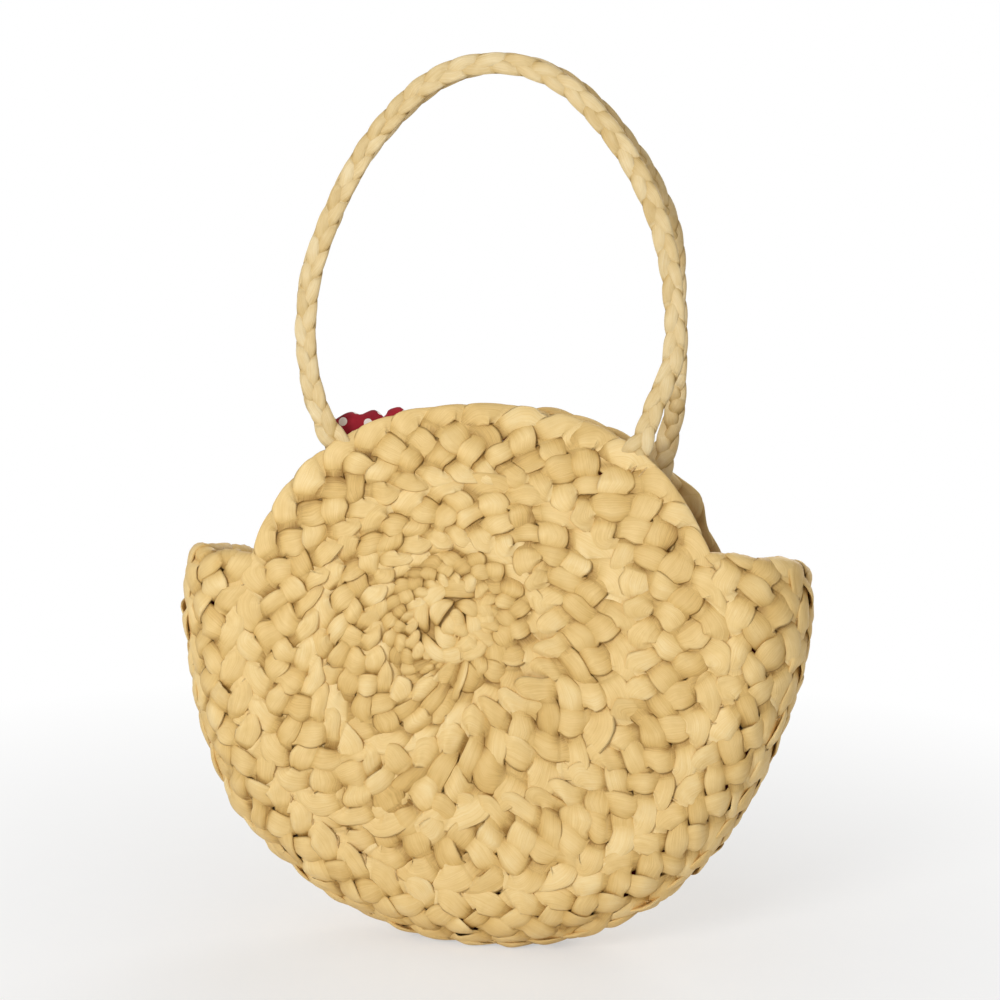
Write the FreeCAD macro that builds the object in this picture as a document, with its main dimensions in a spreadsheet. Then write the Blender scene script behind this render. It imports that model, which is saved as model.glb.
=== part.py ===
import FreeCAD, Part
import math
import os
import re
import Sketcher

# Round plaited handbag: two bent discs, a three-row gusset round their lower part, two plaited
# handles and a cotton lining. Millimetres. X runs across the bag, -Y is the front, +Z is up, and
# the origin is on the floor under the middle of the bag.

doc = FreeCAD.newDocument("circle_bag")
sheet = doc.addObject("Spreadsheet::Sheet", "sheet")

# Driving dimensions. Heights are measured from the centre of the discs unless the note says else.
DRIVING = [
    ("disc_radius", "130", "radius of each round panel, seen from the front"),
    ("plait_thickness", "7", "thickness of the wide flat plait"),
    ("half_depth", "38", "from the middle of the bag to the middle of a panel, at the gusset"),
    ("mouth_half_gap", "13", "the same at the top, where the panels lean together"),
    ("bend_start", "20", "height at which the panels begin to lean in"),
    ("gusset_end_height", "47", "height of the squared upper ends of the gusset"),
    ("base_cut", "4", "depth of the flat that the bag stands on"),
    ("row_joint_angle", "30", "angle of the joints between gusset rows round the gusset's section"),
    ("thread_diameter", "1", "sewing thread"),
    ("clearance", "0.3", "gap between sewn pieces"),
    ("lining_thickness", "1", "cotton lining with its seam allowance"),
    ("handle_diameter", "12", "plaited handle"),
    ("handle_half_width", "99", "half the widest width of a handle, on its centre line"),
    ("handle_waist_rise", "41", "from the top of the disc up to the handle's widest place"),
    ("handle_rise", "179", "from the top of the disc up to the top of the handle's centre line"),
    ("handle_top_radius", "66", "radius of the arch at the top of a handle"),
    ("front_root_inset", "22", "how far the front handle draws in from its widest place to the rim"),
    ("back_root_inset", "10", "the same for the back handle"),
    ("handle_top_gap", "1", "gap between the two handles where they lean together"),
    ("handle_end_length", "45", "height of the sewn end that bends, above the rim"),
    ("rim_stitch_radius", "5.5", "radius of a thread loop round the rim"),
    ("rim_stitch_spacing", "6", "between the two thread loops of one handle end"),
    ("hem_inset", "7", "from the rim to the row of hem stitches"),
    ("hem_stitch_proud", "0.8", "how far a hem stitch stands out of the lining"),
]

# Sizes that follow from the driving dimensions.
DERIVED = [
    ("seam_gap", "=thread_diameter + 2 * clearance"),
    ("seam_radius", "=disc_radius + seam_gap"),
    ("lean", "=half_depth - mouth_half_gap"),
    ("bend_height", "=disc_radius - bend_start"),
    ("bend_radius", "=(bend_height ^ 2 + lean ^ 2) / (2 * lean)"),
    ("gusset_radius", "=half_depth"),
    ("gusset_outer", "=gusset_radius + plait_thickness / 2"),
    ("gusset_inner", "=gusset_radius - plait_thickness / 2"),
    ("disc_height", "=seam_radius + gusset_outer - base_cut"),
    ("half_joint_angle", "=seam_gap / gusset_radius * 90 / pi"),
    ("lining_outer", "=plait_thickness / 2 + clearance"),
    ("lining_inner", "=lining_outer + lining_thickness"),
    ("handle_top_depth", "=(handle_diameter + handle_top_gap) / 2"),
    ("trim", "=2 * (seam_radius + gusset_outer) + handle_rise"),
]

# Where each handle stands on its rim: height, depth from the middle of the bag and angle round the
# rim, then the handle's own heights above that place and its lean towards the other handle.
SIDES = ("front", "back")
for side in SIDES:
    DERIVED += [
        (f"{side}_root_x", f"=handle_half_width - {side}_root_inset"),
        (f"{side}_root_height", f"=sqrt(disc_radius ^ 2 - {side}_root_x ^ 2)"),
        (f"{side}_bend_height", f"={side}_root_height - bend_start"),
        (f"{side}_root_depth", f"=half_depth - bend_radius + sqrt(bend_radius ^ 2 - {side}_bend_height ^ 2)"),
        (f"{side}_root_angle", f"=atan({side}_root_x / {side}_root_height) / 1 deg"),
        (f"{side}_handle_height", f"=disc_radius + handle_rise - {side}_root_height"),
        (f"{side}_handle_waist", f"=disc_radius + handle_waist_rise - {side}_root_height"),
        (f"{side}_handle_inward", f"={side}_root_depth - handle_top_depth"),
        (f"{side}_handle_lean", f"=atan({side}_handle_inward / {side}_handle_height) / 1 deg"),
    ]

HEM_STITCH_COUNT = 11
HEM_FIRST_ANGLE = 35


def fill_sheet():
    """One row per size: its name, its value and, for a driving dimension, a note."""
    for row, entry in enumerate(DRIVING + DERIVED, start=1):
        sheet.set(f"A{row}", entry[0])
        sheet.set(f"B{row}", entry[1])
        sheet.setAlias(f"B{row}", entry[0])
        if len(entry) > 2:
            sheet.set(f"C{row}", entry[2])
    doc.recompute()


def size(formula):
    """The present value of a formula of sheet names, for the first guess of a sketch."""
    cell = "E1"
    sheet.set(cell, "=" + formula)
    sheet.recompute()
    value = float(sheet.get(cell))
    sheet.clear(cell)
    return value


def of_sheet(formula):
    """The same formula as an expression for another object, which names the sheet each time."""
    names = [entry[0] for entry in DRIVING + DERIVED]
    return re.sub(r"[a-z_]+", lambda word: "sheet." * (word[0] in names) + word[0], formula)


def bind(thing, **formulas):
    """Bind properties to the sheet; a double underscore in a name stands for a dot."""
    for name, formula in formulas.items():
        thing.setExpression(name.replace("__", "."), of_sheet(formula))
    return thing


def new_body(name):
    """A body whose origin is at the centre of the discs."""
    body = doc.addObject("PartDesign::Body", name)
    body.Label = name
    bind(body, Placement__Base__z="disc_height")
    return body


def origin_part(body, role):
    return next(part for part in body.Origin.OriginFeatures if part.Role == role)


def new_sketch(body, role, name):
    sketch = body.newObject("Sketcher::SketchObject", name)
    sketch.AttachmentSupport = [(origin_part(body, role), "")]
    sketch.MapMode = "FlatFace"
    return sketch


def dimension(sketch, formula, *constraint):
    """A constraint whose value is a formula of the sheet."""
    index = sketch.addConstraint(Sketcher.Constraint(*constraint))
    sketch.setExpression(f"Constraints[{index}]", of_sheet(formula))


def add_rectangle(sketch, left, right, low, high):
    """A rectangle between two formulas across and two up."""
    corners = [
        FreeCAD.Vector(size(across), size(up), 0)
        for across, up in ((left, low), (right, low), (right, high), (left, high))
    ]
    first = sketch.GeometryCount
    for index in range(4):
        sketch.addGeometry(Part.LineSegment(corners[index], corners[(index + 1) % 4]), False)
    for index in range(4):
        following = first + (index + 1) % 4
        sketch.addConstraint(Sketcher.Constraint("Coincident", first + index, 2, following, 1))
        kind = "Vertical" if index % 2 else "Horizontal"
        sketch.addConstraint(Sketcher.Constraint(kind, first + index))
    dimension(sketch, left, "DistanceX", -1, 1, first, 1, corners[0].x)
    dimension(sketch, right, "DistanceX", -1, 1, first + 1, 1, corners[1].x)
    dimension(sketch, low, "DistanceY", -1, 1, first, 1, corners[0].y)
    dimension(sketch, high, "DistanceY", -1, 1, first + 2, 1, corners[2].y)


def add_ring_sector(sketch, across, up, inner, outer, start, end):
    """A piece of a flat ring about a centre, between two radii and two angles in degrees."""
    centre = FreeCAD.Vector(size(across), size(up), 0)
    radii = [size(outer), size(inner)]
    angles = [math.radians(size(start)), math.radians(size(end))]
    first = sketch.GeometryCount
    for radius in radii:
        circle = Part.Circle(centre, FreeCAD.Vector(0, 0, 1), radius)
        sketch.addGeometry(Part.ArcOfCircle(circle, *angles), False)
    for angle in angles:
        ray = FreeCAD.Vector(math.cos(angle), math.sin(angle), 0)
        sketch.addGeometry(Part.LineSegment(centre + ray * radii[1], centre + ray * radii[0]), False)
    big, small, ray_a, ray_b = range(first, first + 4)
    sketch.addConstraint(Sketcher.Constraint("Coincident", big, 3, small, 3))
    for ray, end_of_arc in ((ray_a, 1), (ray_b, 2)):
        sketch.addConstraint(Sketcher.Constraint("Coincident", small, end_of_arc, ray, 1))
        sketch.addConstraint(Sketcher.Constraint("Coincident", big, end_of_arc, ray, 2))
        sketch.addConstraint(Sketcher.Constraint("PointOnObject", big, 3, ray))
    dimension(sketch, across, "DistanceX", -1, 1, big, 3, centre.x)
    dimension(sketch, up, "DistanceY", -1, 1, big, 3, centre.y)
    dimension(sketch, outer, "Radius", big, radii[0])
    dimension(sketch, inner, "Radius", small, radii[1])
    dimension(sketch, f"({start}) * 1 deg", "Angle", ray_a, angles[0])
    dimension(sketch, f"({end}) * 1 deg", "Angle", ray_b, angles[1])


def pad_across(body, sketch, name, width):
    """Extrude a sketch of the side view to both sides of the middle of the bag."""
    pad = body.newObject("PartDesign::Pad", name)
    pad.Profile = sketch
    pad.SideType = "Symmetric"
    bind(pad, Length=width)
    return pad


def cut_through(body, sketch, name):
    """Cut the body with a sketch, all the way through to both sides."""
    pocket = body.newObject("PartDesign::Pocket", name)
    pocket.Profile = sketch
    pocket.Type = "ThroughAll"
    pocket.SideType = "Symmetric"
    return pocket


def add_circle(sketch, across, up, radius):
    centre = FreeCAD.Vector(size(across), size(up), 0)
    index = sketch.addGeometry(
        Part.Circle(centre, FreeCAD.Vector(0, 0, 1), size(radius)), False
    )
    dimension(sketch, across, "DistanceX", -1, 1, index, 3, centre.x)
    dimension(sketch, up, "DistanceY", -1, 1, index, 3, centre.y)
    dimension(sketch, radius, "Radius", index, size(radius))


def bent_disc(name, near, far, radius):
    """A disc on the front of the bag that leans in above bend_start.

    near and far are distances inward from the middle of the panel's plait to its two faces.
    """
    body = new_body(name)
    flat = new_sketch(body, "YZ_Plane", name + "_flat")
    add_rectangle(flat, f"{near} - half_depth", f"{far} - half_depth", "-trim", "bend_start")
    pad_across(body, flat, name + "_flat_pad", "trim")
    bend = new_sketch(body, "YZ_Plane", name + "_bend")
    add_ring_sector(
        bend, "bend_radius - half_depth", "bend_start",
        f"bend_radius - ({far})", f"bend_radius - ({near})", "120", "180",
    )
    pad_across(body, bend, name + "_bend_pad", "trim")
    rim = new_sketch(body, "XZ_Plane", name + "_rim")
    add_circle(rim, "0", "0", radius)
    add_circle(rim, "0", "0", "2 * trim")
    cut_through(body, rim, name + "_rim_cut")
    return body


def trim_gusset(body, name, stands):
    """Square off the upper ends, and cut the flat that the bag stands on where the row has it."""
    ends = new_sketch(body, "XZ_Plane", name + "_ends")
    add_rectangle(ends, "-trim", "trim", "gusset_end_height", "trim")
    if stands:
        add_rectangle(ends, "-trim", "trim", "-trim", "-disc_height")
    cut_through(body, ends, name + "_ends_cut")
    return body


def revolve(body, sketch, name):
    """Turn a section of the gusset all round the axis of the discs."""
    turn = body.newObject("PartDesign::Revolution", name)
    turn.Profile = sketch
    turn.ReferenceAxis = (origin_part(body, "Y_Axis"), [""])
    turn.Angle = 360
    return turn


def gusset_ring(name, inner, outer, start, end, stands=False):
    """A row of the gusset; its angles run round the section, zero at the widest place."""
    body = new_body(name)
    section = new_sketch(body, "YZ_Plane", name + "_section")
    add_ring_sector(section, "0", "-seam_radius", inner, outer, f"{start} - 90", f"{end} - 90")
    revolve(body, section, name + "_turn")
    return trim_gusset(body, name, stands)


def seam_thread(name, across, out):
    """A thread round the bag up to the gusset's ends, across the bag and out from the discs' axis."""
    body = new_body(name)
    section = new_sketch(body, "YZ_Plane", name + "_section")
    add_circle(section, across, f"-({out})", "thread_diameter / 2")
    turn = revolve(body, section, name + "_turn")
    turn.Midplane = True
    bind(turn, Angle=f"180 deg + 2 * asin(gusset_end_height / ({out}))")
    return body


def mirrored(source, name, normal):
    """A mirror image across the plane through the middle of the bag with this normal."""
    image = doc.addObject("Part::Mirroring", name)
    image.Label = name
    image.Source = source
    image.Normal = normal
    return image


def group(name, things):
    compound = doc.addObject("Part::Compound", name)
    compound.Label = name
    compound.Links = things
    return compound


def handle_tube(side):
    """A whole handle over the front rim: half an arch of three tangent arcs, swept and mirrored."""
    body = doc.addObject("PartDesign::Body", f"{side}_handle_tube")
    body.Placement.Rotation = FreeCAD.Rotation(FreeCAD.Vector(-1, 0, 0), 1)
    bind(
        body, Placement__Base__y=f"-{side}_root_depth",
        Placement__Base__z=f"disc_height + {side}_root_height",
        Placement__Rotation__Angle=f"{side}_handle_lean * 1 deg",
    )
    spine = new_sketch(body, "XZ_Plane", f"{side}_handle_spine")
    half_width = size("handle_half_width")
    top_radius = size("handle_top_radius")
    height = size(f"{side}_handle_height")
    waist = size(f"{side}_handle_waist")
    root_x = size(f"{side}_root_x")
    root_in = size(f"{side}_root_inset")
    top_centre = FreeCAD.Vector(0, height - top_radius, 0)
    rise = top_centre.y - waist
    side_radius = (half_width ** 2 + rise ** 2 - top_radius ** 2) / (2 * (half_width - top_radius))
    foot_radius = (waist ** 2 + root_in ** 2) / (2 * root_in)
    side_centre = FreeCAD.Vector(half_width - side_radius, waist, 0)
    foot_centre = FreeCAD.Vector(half_width - foot_radius, waist, 0)
    meet = math.atan2(rise, -side_centre.x)
    foot_angle = -math.asin(waist / foot_radius)
    up = FreeCAD.Vector(0, 0, 1)
    for centre, radius, start, end in (
        (top_centre, top_radius, meet, math.pi / 2),
        (side_centre, side_radius, 0, meet),
        (foot_centre, foot_radius, foot_angle, 0),
    ):
        spine.addGeometry(Part.ArcOfCircle(Part.Circle(centre, up, radius), start, end), False)
    arch, flank, foot = 0, 1, 2
    spine.addConstraint(Sketcher.Constraint("PointOnObject", arch, 3, -2))
    spine.addConstraint(Sketcher.Constraint("PointOnObject", arch, 2, -2))
    spine.addConstraint(Sketcher.Constraint("Tangent", arch, 1, flank, 2))
    spine.addConstraint(Sketcher.Constraint("Tangent", flank, 1, foot, 2))
    spine.addConstraint(Sketcher.Constraint("Horizontal", flank, 3, flank, 1))
    dimension(spine, "handle_top_radius", "Radius", arch, top_radius)
    dimension(spine, f"{side}_handle_height", "DistanceY", -1, 1, arch, 2, height)
    dimension(spine, "handle_half_width", "DistanceX", -1, 1, flank, 1, half_width)
    dimension(spine, f"{side}_handle_waist", "DistanceY", -1, 1, flank, 1, waist)
    dimension(spine, f"{side}_root_x", "DistanceX", -1, 1, foot, 1, root_x)
    spine.addConstraint(Sketcher.Constraint("PointOnObject", foot, 1, -1))
    section = new_sketch(body, "YZ_Plane", f"{side}_handle_section")
    add_circle(section, "0", f"{side}_handle_height", "handle_diameter / 2")
    pipe = body.newObject("PartDesign::AdditivePipe", f"{side}_handle_pipe")
    pipe.Profile = section
    pipe.Spine = (spine, ["Edge1", "Edge2", "Edge3"])
    doc.recompute()
    both = body.newObject("PartDesign::Mirrored", f"{side}_handle_both")
    both.Originals = [pipe]
    both.MirrorPlane = (origin_part(body, "YZ_Plane"), [""])
    body.Tip = both
    return body


def slab(name, low, high):
    """A block over the whole bag between two heights above the centre of the discs."""
    block = doc.addObject("Part::Box", name)
    return bind(
        block, Length="2 * trim", Width="2 * trim", Height=f"({high}) - ({low})",
        Placement__Base__x="-trim", Placement__Base__y="-trim",
        Placement__Base__z=f"disc_height + {low}",
    )


def boolean(kind, name, base, tool):
    result = doc.addObject("Part::" + kind, name)
    result.Label = name
    result.Base = base
    result.Tool = tool
    return result


def handle_parts(side, rim):
    """The swinging loop, the two ends below it that are sewn to the rim and bend, and their stitches."""
    tube = handle_tube(side)
    split = f"{side}_root_height + handle_end_length"
    above = slab(f"{side}_above_split", split, "trim")
    below = slab(f"{side}_below_split", "-trim", f"{split} - clearance")
    loop = boolean("Common", f"{side}_handle", tube, above)
    lower = boolean("Common", f"{side}_handle_lower", tube, below)
    ends = boolean("Cut", f"{side}_handle_ends", lower, rim)
    return [loop, ends, handle_stitches(side)]


def rim_clearance():
    """A cylinder a little larger than the discs, which the handle ends are cut back to."""
    rim = doc.addObject("Part::Cylinder", "rim_clearance")
    rim.Placement.Rotation = FreeCAD.Rotation(FreeCAD.Vector(1, 0, 0), 90)
    return bind(
        rim, Radius="disc_radius + clearance", Height="2 * half_depth",
        Placement__Base__y="half_depth", Placement__Base__z="disc_height",
    )


def handle_stitches(side):
    """Two thread loops round the rim at each end of a handle."""
    loops = []
    for index, way in enumerate((-1, 1)):
        ring = doc.addObject("Part::Torus", f"{side}_rim_stitch_{index}")
        ring.Placement.Rotation = FreeCAD.Rotation(FreeCAD.Vector(0, 1, 0), 1)
        along = f"{way} * rim_stitch_spacing / 2"
        turn = f"{side}_root_angle * 1 deg"
        bind(
            ring, Radius1="rim_stitch_radius", Radius2="thread_diameter / 2",
            Placement__Base__x=f"{side}_root_x + {along} * cos({turn})",
            Placement__Base__y=f"-{side}_root_depth",
            Placement__Base__z=f"disc_height + {side}_root_height - {along} * sin({turn})",
            Placement__Rotation__Angle=f"90 deg + {turn}",
        )
        loops.append(ring)
    right = group(f"{side}_right_stitches", loops)
    left = mirrored(right, f"{side}_left_stitches", FreeCAD.Vector(1, 0, 0))
    return group(f"{side}_handle_stitches", [right, left])


def lining_front_stitches():
    """A row of hem stitches along the mouth, from the middle of the plait out through the lining."""
    stitches = []
    step = (180 - 2 * HEM_FIRST_ANGLE) / (HEM_STITCH_COUNT - 1)
    for index in range(HEM_STITCH_COUNT):
        angle = HEM_FIRST_ANGLE + index * step
        up = f"(disc_radius - hem_inset) * sin({angle} * 1 deg)"
        slope = f"sqrt(bend_radius ^ 2 - ({up} - bend_start) ^ 2)"
        stitch = doc.addObject("Part::Cylinder", f"hem_stitch_{index}")
        stitch.Placement.Rotation = FreeCAD.Rotation(FreeCAD.Vector(1, 0, 0), -90)
        bind(
            stitch, Radius="thread_diameter / 2",
            Height=f"lining_inner * bend_radius / {slope} + hem_stitch_proud",
            Placement__Base__x=f"(disc_radius - hem_inset) * cos({angle} * 1 deg)",
            Placement__Base__y=f"bend_radius - half_depth - {slope}",
            Placement__Base__z=f"disc_height + {up}",
        )
        stitches.append(stitch)
    return group("lining_front_stitches", stitches)


def build():
    """Every piece of the bag; a back piece is made over the front rim and mirrored."""
    half = "plait_thickness / 2"
    joint = "row_joint_angle"
    to_back = FreeCAD.Vector(0, 1, 0)
    rim = rim_clearance()
    front_handle = handle_parts("front", rim)
    alike = [
        bent_disc("front_panel", f"-{half}", half, "disc_radius"),
        bent_disc("lining_front", "lining_outer", "lining_inner", "disc_radius"),
        lining_front_stitches(),
        gusset_ring(
            "gusset_front_row", "gusset_inner", "gusset_outer", "-90", f"-{joint} - half_joint_angle",
        ),
        seam_thread("front_seam_thread", "-half_depth", "disc_radius + seam_gap / 2"),
        seam_thread(
            "gusset_front_seam_thread", f"-gusset_radius * sin({joint} * 1 deg)",
            f"seam_radius + gusset_radius * cos({joint} * 1 deg)",
        ),
    ]
    backs = [mirrored(piece, piece.Label.replace("front", "back"), to_back) for piece in alike]
    for piece in handle_parts("back", rim):
        name = piece.Label
        piece.Label = name + "_over_front_rim"
        backs.append(mirrored(piece, name, to_back))
    middle = [
        gusset_ring(
            "gusset_middle_row", "gusset_inner", "gusset_outer",
            f"half_joint_angle - {joint}", f"{joint} - half_joint_angle", stands=True,
        ),
        gusset_ring(
            "lining_gusset", "gusset_radius - lining_inner", "gusset_radius - lining_outer", "-90", "90",
        ),
    ]
    return front_handle + alike + backs + middle


def write(pieces):
    """Check every object, then write one file for each piece."""
    doc.recompute()
    failed = [thing.Label for thing in doc.Objects if {"Invalid", "Error"} & set(thing.State)]
    if failed:
        raise RuntimeError(f"not built: {failed}")
    for piece in pieces:
        if piece.Shape.isNull() or not piece.Shape.isValid():
            raise RuntimeError(f"no valid shape: {piece.Label}")
    os.makedirs("parts", exist_ok=True)
    for piece in pieces:
        piece.Shape.exportStep(f"parts/{piece.Label}.step")
        box = piece.Shape.optimalBoundingBox()
        print(
            f"{piece.Label}: {len(piece.Shape.Solids)} solids, {piece.Shape.Volume / 1000:.2f} cm3,"
            f" x {box.XMin:.1f} to {box.XMax:.1f}, y {box.YMin:.1f} to {box.YMax:.1f},"
            f" z {box.ZMin:.1f} to {box.ZMax:.1f}"
        )


fill_sheet()
write(build())
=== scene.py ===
import math

import bmesh
import bpy
import numpy as np
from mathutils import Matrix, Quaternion, Vector


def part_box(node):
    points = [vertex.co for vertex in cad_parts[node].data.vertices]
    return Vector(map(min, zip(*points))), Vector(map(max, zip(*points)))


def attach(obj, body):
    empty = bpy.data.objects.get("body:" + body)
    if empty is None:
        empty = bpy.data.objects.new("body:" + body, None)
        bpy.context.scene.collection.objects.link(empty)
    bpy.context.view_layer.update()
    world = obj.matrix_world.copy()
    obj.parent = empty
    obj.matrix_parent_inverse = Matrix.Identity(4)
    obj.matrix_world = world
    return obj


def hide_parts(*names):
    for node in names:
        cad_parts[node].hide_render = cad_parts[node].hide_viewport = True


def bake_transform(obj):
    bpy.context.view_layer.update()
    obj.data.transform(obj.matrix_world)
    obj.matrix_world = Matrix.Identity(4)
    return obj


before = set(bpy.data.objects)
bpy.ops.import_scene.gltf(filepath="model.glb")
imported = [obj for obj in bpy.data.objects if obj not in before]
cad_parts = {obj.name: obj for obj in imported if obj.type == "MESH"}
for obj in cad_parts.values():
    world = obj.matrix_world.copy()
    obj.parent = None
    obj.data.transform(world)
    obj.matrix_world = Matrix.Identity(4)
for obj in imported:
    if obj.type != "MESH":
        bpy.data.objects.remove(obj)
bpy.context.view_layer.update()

# Sizes in metres, as in the solids. Front is -Y, the bag stands on z = 0.
panel_low, panel_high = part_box("front_panel")
DISC_RADIUS = 0.5 * (panel_high.x - panel_low.x)
DISC_HEIGHT = 0.5 * (panel_high.z + panel_low.z)
PLAIT_THICKNESS = 0.007
HALF_DEPTH = -panel_low.y - 0.5 * PLAIT_THICKNESS
BEND_START = 0.020
MOUTH_HALF_GAP = 0.013
BEND_DROP = HALF_DEPTH - MOUTH_HALF_GAP
BEND_RUN = DISC_RADIUS - BEND_START
BEND_RADIUS = (BEND_RUN ** 2 + BEND_DROP ** 2) / (2 * BEND_DROP)
BEND_LIMIT = 0.98 * BEND_RADIUS
RIM_GAP = 0.0006
SEAM_GAP = 0.0016
SEAM_RADIUS = DISC_RADIUS + SEAM_GAP
GUSSET_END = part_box("gusset_middle_row")[1].z - DISC_HEIGHT

# The wide plait: five flat strands, each over one and under one. A period is a strand's way over and back.
PANEL_WIDTH = 0.043
PERIOD_PER_WIDTH = 1.95
GUSSET_PERIOD_PER_WIDTH = 2.4
SAMPLES_PER_PERIOD = 76
# In shares of a crossing: how early before an edge a strand folds over to the top, and how far on it is
# when it turns.
FOLD_LEAD = 0.30
FOLD_PASSED = 0.35
# Each lobe of a strand has a ridge of its own place and height, and a tone of its own.
RIDGE_OFF_CENTRE = 0.55
RIDGE_HEIGHTS = (0.1, 1.0)
LOBE_TONE = 0.75
KNOT_TONES = (0.1, 0.9)
PUFF_POWER = 0.7
THICKNESS_POWER = 0.6
# The painted shade between strands fades out towards the edges, at shares of the half width.
SHADE_FADE_FROM = 0.62
SHADE_FADE_RUN = 0.25
STRAND_UV_STEP = 3.7

# The gusset's two ends fall towards the back, and each stands higher by its own amounts round the section.
EAR_DROP = 0.009
EAR_PLACES = np.radians([-90, -30, 20, 90])
EAR_LEFT_RISE = [0.0, 0.0025, 0.0015, -0.0040]
EAR_RIGHT_RISE = [0.0130, 0.0120, 0.0060, 0.0040]

# A strand's flat section, from edge to edge over the top and back underneath.
TOP_PLACES = np.array([-1.0, -0.86, -0.45, 0.0, 0.45, 0.86, 1.0])
SECTION_PLACES = np.concatenate([TOP_PLACES, TOP_PLACES[-2:0:-1]])
SECTION_FACING = np.concatenate([np.ones(len(TOP_PLACES)), -np.ones(len(TOP_PLACES) - 2)])
SECTION_DOME = SECTION_FACING * np.sqrt(1 - np.abs(SECTION_PLACES) ** 3)
SECTION_TURN = np.arange(len(SECTION_PLACES)) / len(SECTION_PLACES)

# The soft sides don't stand evenly: how far each is moved to the right, at heights over the ground.
LEAN_HEIGHTS = [0.02, 0.06, 0.095, 0.15, 0.17, 0.20, 0.23]
LEAN_RIGHT = [-0.0090, -0.0110, -0.0103, -0.0050, -0.0007, 0.0040, 0.0062]
LEAN_LEFT = [-0.0060, -0.0060, 0.0, 0.0026, 0.0016, -0.0014, -0.0020]
LEAN_REACH = 0.17


def smooth_step(value):
    value = np.clip(value, 0.0, 1.0)
    return value * value * (3.0 - 2.0 * value)


def eased(value, places, heights):
    """Heights joined smoothly at their places, level at each of them."""
    total = np.full(np.shape(value), heights[0])
    for index in range(len(places) - 1):
        share = smooth_step((value - places[index]) / (places[index + 1] - places[index]))
        total += (heights[index + 1] - heights[index]) * share
    return total


def soft_floor(height, softness=0.0022):
    """Heights below the ground are pressed flat on it."""
    return 0.5 * (height + np.sqrt(height * height + softness * softness))


def soft_limit(value, limit, softness):
    """Values above the limit are drawn back to it, with a rounded corner."""
    return 0.5 * (value + limit - np.sqrt((value - limit) ** 2 + softness ** 2))


def wave_field(rng, count, longest, shortest):
    """A smooth seeded field in space, about -1 to 1, as a sum of plane waves."""
    directions = rng.normal(size=(count, 3))
    directions /= np.linalg.norm(directions, axis=1)[:, None]
    lengths = rng.uniform(shortest, longest, count)
    phases = rng.uniform(0, 2 * math.pi, count)

    def field(points):
        total = np.zeros(len(points))
        for direction, length, phase in zip(directions, lengths, phases):
            total += np.sin(2 * math.pi * points @ direction / length + phase)
        return total / math.sqrt(count)

    return field


def mesh_object(name, points, faces, material, attributes=None, uv=None):
    """An object from arrays: points (n, 3), faces a list of index rows, uv one pair per point."""
    mesh = bpy.data.meshes.new(name)
    mesh.from_pydata(points.tolist(), [], faces)
    mesh.update()
    shell = bmesh.new()
    shell.from_mesh(mesh)
    bmesh.ops.recalc_face_normals(shell, faces=shell.faces)
    shell.to_mesh(mesh)
    shell.free()
    for label, values in (attributes or {}).items():
        layer = mesh.attributes.new(label, "FLOAT", "POINT")
        layer.data.foreach_set("value", np.asarray(values, dtype=np.float32))
    if uv is not None:
        layer = mesh.uv_layers.new(name="Strand")
        corner = np.zeros(len(mesh.loops), dtype=np.int32)
        mesh.loops.foreach_get("vertex_index", corner)
        layer.data.foreach_set("uv", np.asarray(uv, dtype=np.float32)[corner].ravel())
    mesh.polygons.foreach_set("use_smooth", np.ones(len(mesh.polygons), dtype=bool))
    mesh.materials.append(material)
    piece = bpy.data.objects.new(name, mesh)
    bpy.context.scene.collection.objects.link(piece)
    return piece


def tube_faces(rings, sides, first):
    """Quads of one closed tube of rings x sides points, with its two end caps."""
    grid = first + np.arange(rings * sides).reshape(rings, sides)
    after = np.roll(grid, -1, axis=1)
    quads = np.stack([grid[:-1], after[:-1], after[1:], grid[1:]], axis=-1).reshape(-1, 4)
    return quads.tolist() + [grid[0, ::-1].tolist(), grid[-1].tolist()]


def settle(points):
    """The bag's body as it stands, with its sides leaning."""
    share = np.clip(points[:, 0] / LEAN_REACH, -1, 1)
    right = np.interp(points[:, 2], LEAN_HEIGHTS, LEAN_RIGHT)
    left = np.interp(points[:, 2], LEAN_HEIGHTS, LEAN_LEFT)
    points[:, 0] += share ** 2 * np.where(share > 0, right, left)
    return points


def strand_beat(strands, phase, strand):
    """Where a strand is across the plait, -1 to 1, and how many crossings it has passed. It comes to
    each edge from below and folds over to the top just before it turns."""
    swing_phase = 2 * (phase + strand / strands)
    crossings = strands - 1
    traverse = np.floor(swing_phase)
    passed = np.interp(
        crossings * (swing_phase - traverse), [0, 1, crossings - FOLD_LEAD, crossings],
        [FOLD_PASSED, 1, crossings, crossings + FOLD_PASSED],
    )
    return np.cos(math.pi * swing_phase), crossings * traverse + passed


def nearest_fold(strands, phase, strand, s):
    """Where along the plait a strand's nearest turn is, and whether it lies ahead. The two legs of a turn
    meet there in a fold, so neither reaches past it."""
    swing_phase = 2 * (phase + strand / strands)
    fold = np.round(swing_phase)
    fold_s = np.interp(0.5 * fold - strand / strands, phase, s, left=s[0] - 1, right=s[-1] + 1)
    return fold_s, fold > swing_phase


def strand_uv(along):
    """Flat places of a strand's points: along the strand, and round its section."""
    return np.column_stack([np.repeat(along, len(SECTION_TURN)), np.tile(SECTION_TURN, len(along))])


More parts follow.
